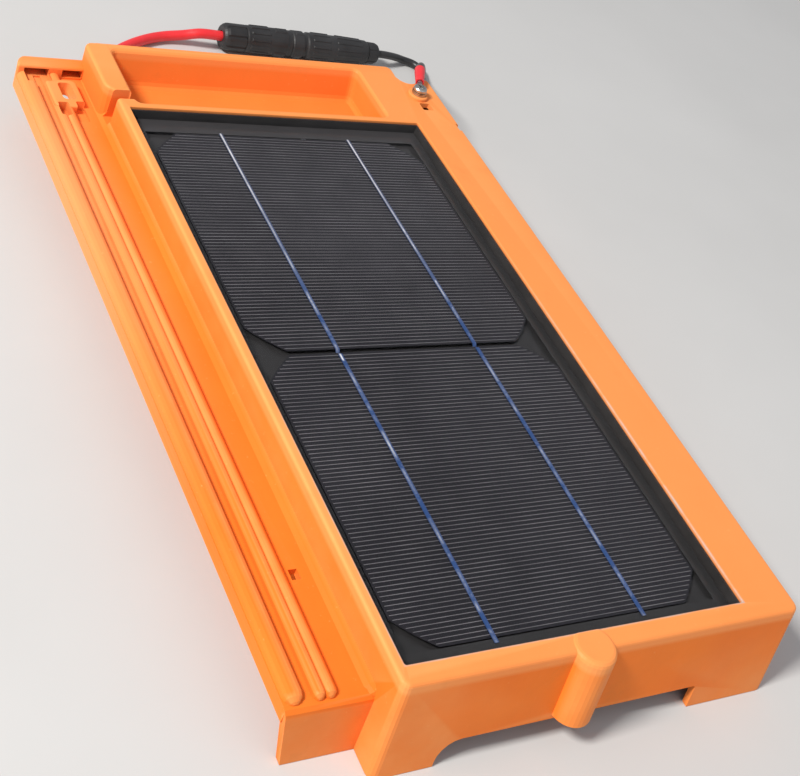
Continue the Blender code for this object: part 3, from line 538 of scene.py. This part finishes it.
def fingers(name, cell):
    """The printed silver fingers of one cell, cut to its rounded corners."""
    low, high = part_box(cell)
    centre = (low + high) / 2
    half = (high.x - low.x) / 2
    pitch = 2 * half / (FINGER_COUNT + FINGER_END_SPACE)
    work = bmesh.new()
    for i in range(FINGER_COUNT):
        y = (i - (FINGER_COUNT - 1) / 2) * pitch
        reach = min(half, math.sqrt(CELL_ROUND**2 - y * y)) - FINGER_MARGIN
        corners = []
        for z in (high.z + FINGER_LOW, high.z + FINGER_HIGH):
            for x, side in ((-reach, -1), (reach, -1), (reach, 1), (-reach, 1)):
                corners.append((centre.x + x, centre.y + y + side * FINGER_WIDTH / 2, z))
        add_block(work, corners)
    finished(object_from(name, work), FINGER_LOOK)


# ---------------------------------------------------------------- leads

UP = Vector((0, 0, 1))

# In millimetres, but the lengths in metres
CONNECTOR_START = Vector((29.5, 283.4, 8.9))
CONNECTOR_END = Vector((137.5, 278.5, 8.9))
CONNECTOR_AXIS = (CONNECTOR_END - CONNECTOR_START).normalized()
RED_DIAMETER = 6.0
BLACK_DIAMETER = 4.8


def on_axis(place):
    """The point at this place along the connector, in millimetres."""
    return CONNECTOR_START + CONNECTOR_AXIS * place


RED_ROUTE = [
    (-60, 208.7, 12), (-60, 216, 12), (-60, 224, 11.9), (-59, 236, 9.3), (-55, 248.5, 6),
    (-46.5, 261, 3.8), (-33, 272.5, 3.3), (-19, 281, 3.3), (-6, 285.5, 3.8), (6, 285.8, 5.6),
    on_axis(-13), on_axis(0), on_axis(16.6),
]
BLACK_ROUTE = [
    on_axis(91.6), on_axis(106), on_axis(114), (154.5, 281.2, 6), (162.5, 282.8, 3.4),
    (169.5, 280, 2.8), (172.5, 273.2, 2.8), (169.8, 265.6, 3.6), (163, 257, 8), (153, 245, 17),
    (141.2, 231.2, 28.5), (129.8, 218.5, 39.5), (121.2, 208.6, 46.6), (115.6, 200.6, 49.7),
    (110.4, 190.9, 49.9),
]
ROUTE_STEPS = 8


def smooth_route(points):
    """Points on a Catmull-Rom curve through the route, in metres."""
    path = [Vector(p) * MM for p in points]
    ends = [2 * path[0] - path[1]] + path + [2 * path[-1] - path[-2]]
    fine = []
    for a, b, c, d in zip(ends, ends[1:], ends[2:], ends[3:]):
        for step in range(ROUTE_STEPS):
            t = step / ROUTE_STEPS
            fine.append(
                0.5 * (2 * b + (c - a) * t + (2 * a - 5 * b + 4 * c - d) * t**2)
                + 0.5 * (3 * b - a - 3 * c + d) * t**3
            )
    fine.append(path[-1])
    return fine


def lead(name, route, diameter, slot, node):
    """A cord along its route, in place of its CAD node."""
    curve = bpy.data.curves.new(name, "CURVE")
    curve.dimensions = "3D"
    curve.bevel_depth = diameter * MM / 2
    curve.bevel_resolution = 6
    curve.use_fill_caps = True
    spots = smooth_route(route)
    line = curve.splines.new("POLY")
    line.points.add(len(spots) - 1)
    for point, spot in zip(line.points, spots):
        point.co = (*spot, 1.0)
    line.use_smooth = True
    item = bpy.data.objects.new(name, curve)
    bpy.context.scene.collection.objects.link(item)
    finished(item, LOOKS[slot])
    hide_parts(node)


# Each row of grips is (start, end, count round the connector, width, height), in millimetres.
# A start or end is (place along the connector, its radius there).
SOCKET_GRIPS = (
    ((17.0, 8.33), (30.5, 8.40), 12, 1.9, 0.45),
    ((33.0, 8.42), (42.0, 8.45), 3, 5.0, 0.60),
)
PLUG_GRIPS = (
    ((47.0, 8.50), (52.4, 8.50), 3, 5.0, 0.45),
    ((59.0, 8.26), (72.0, 8.17), 12, 1.9, 0.45),
    ((76.0, 8.12), (95.0, 7.60), 12, 1.7, 0.45),
)
GRIP_SUNK = 0.4
GRIP_END_SLOPE = 0.8
GRIP_TOP_HALF = 0.32  # of the width
GRIP_LOWEST = -0.75  # a grip whose angle has a lower sine would meet the floor
GRIP_EDGE = 0.18 * MM


def grip(work, start, end, angle, width, height):
    """One chamfered bar, at this angle round the connector."""
    side = UP.cross(CONNECTOR_AXIS).normalized()
    out = side * math.cos(angle) + UP * math.sin(angle)
    across = CONNECTOR_AXIS.cross(out)
    corners = []
    for rise, slope, half in (
        (-GRIP_SUNK, 0.0, width / 2),
        (height, GRIP_END_SLOPE, width * GRIP_TOP_HALF),
    ):
        for (place, radius), turn in ((start, 1), (end, -1)):
            middle = on_axis(place + slope * turn) + out * (radius + rise)
            corners += [middle - across * half * turn, middle + across * half * turn]
    add_block(work, [corner * MM for corner in corners])


def grips(name, rows):
    """The raised grips of one connector half, left out where it lies on the floor."""
    work = bmesh.new()
    for start, end, count, width, height in rows:
        for i in range(count):
            angle = math.pi / 2 + 2 * math.pi * i / count
            if math.sin(angle) > GRIP_LOWEST:
                grip(work, start, end, angle, width, height)
    bmesh.ops.recalc_face_normals(work, faces=work.faces)
    item = finished(object_from(name, work), LOOKS["connector_plastic"])
    edges = item.modifiers.new("soft_edges", "BEVEL")
    edges.width = GRIP_EDGE
    edges.segments = 2
    return item


def leads():
    socket_grips = grips("socket_grips", SOCKET_GRIPS)
    plug_grips = grips("plug_grips", PLUG_GRIPS)
    lead(
        "red_lead_skin", RED_ROUTE, RED_DIAMETER, "red_cable", "red_lead",
    )
    lead(
        "black_lead_skin", BLACK_ROUTE, BLACK_DIAMETER, "black_cable", "black_lead",
    )


# ---------------------------------------------------------------- floor and light

FLOOR_HALF = 40.0
FLOOR_TOP = -0.0002
FLOOR_DARK = (0.60, 0.598, 0.59)
FLOOR_LIGHT = (0.63, 0.628, 0.62)
SKY = (0.93, 0.95, 1.0)
SKY_STRENGTH = 0.42

# The clear layers stand one on another, and this lets light through all of them.
MOST_CLEAR_LAYERS = 24

# Each points at the origin: (name, place, size, power, colour).
LAMPS = (
    ("key", (-1.85, -0.15, 1.85), 0.5, 76.0, (1.0, 0.97, 0.93)),
    ("fill", (0.9, -1.9, 1.1), 1.6, 3.0, (0.95, 0.97, 1.0)),
)


def make_floor():
    look = Look("floor_look")
    look.colour(look.ramp(look.noise(6.0), [(0.3, FLOOR_DARK), (0.7, FLOOR_LIGHT)]))
    look.rough(look.noise(20.0), 0.7, 0.85)
    work = bmesh.new()
    bmesh.ops.create_grid(work, x_segments=1, y_segments=1, size=FLOOR_HALF)
    floor = object_from("floor", work)
    floor.location.z = FLOOR_TOP
    floor.data.materials.append(look.material)


def make_light():
    world = bpy.data.worlds.new("studio")
    world.use_nodes = True
    sky = world.node_tree.nodes["Background"]
    sky.inputs["Color"].default_value = (*SKY, 1.0)
    sky.inputs["Strength"].default_value = SKY_STRENGTH
    scene = bpy.context.scene
    scene.world = world
    scene.view_settings.view_transform = "Standard"
    scene.cycles.transparent_max_bounces = MOST_CLEAR_LAYERS
    for name, spot, size, power, colour in LAMPS:
        data = bpy.data.lights.new(name, "AREA")
        data.size = size
        data.energy = power
        data.color = colour
        lamp = bpy.data.objects.new(name, data)
        scene.collection.objects.link(lamp)
        lamp.location = spot
        lamp.rotation_euler = (-Vector(spot)).to_track_quat("-Z", "Y").to_euler()


make_camera()
dress_nodes()
leads()
fingers("head_cell_fingers", "head_cell")
fingers("front_cell_fingers", "front_cell")
make_floor()
make_light()
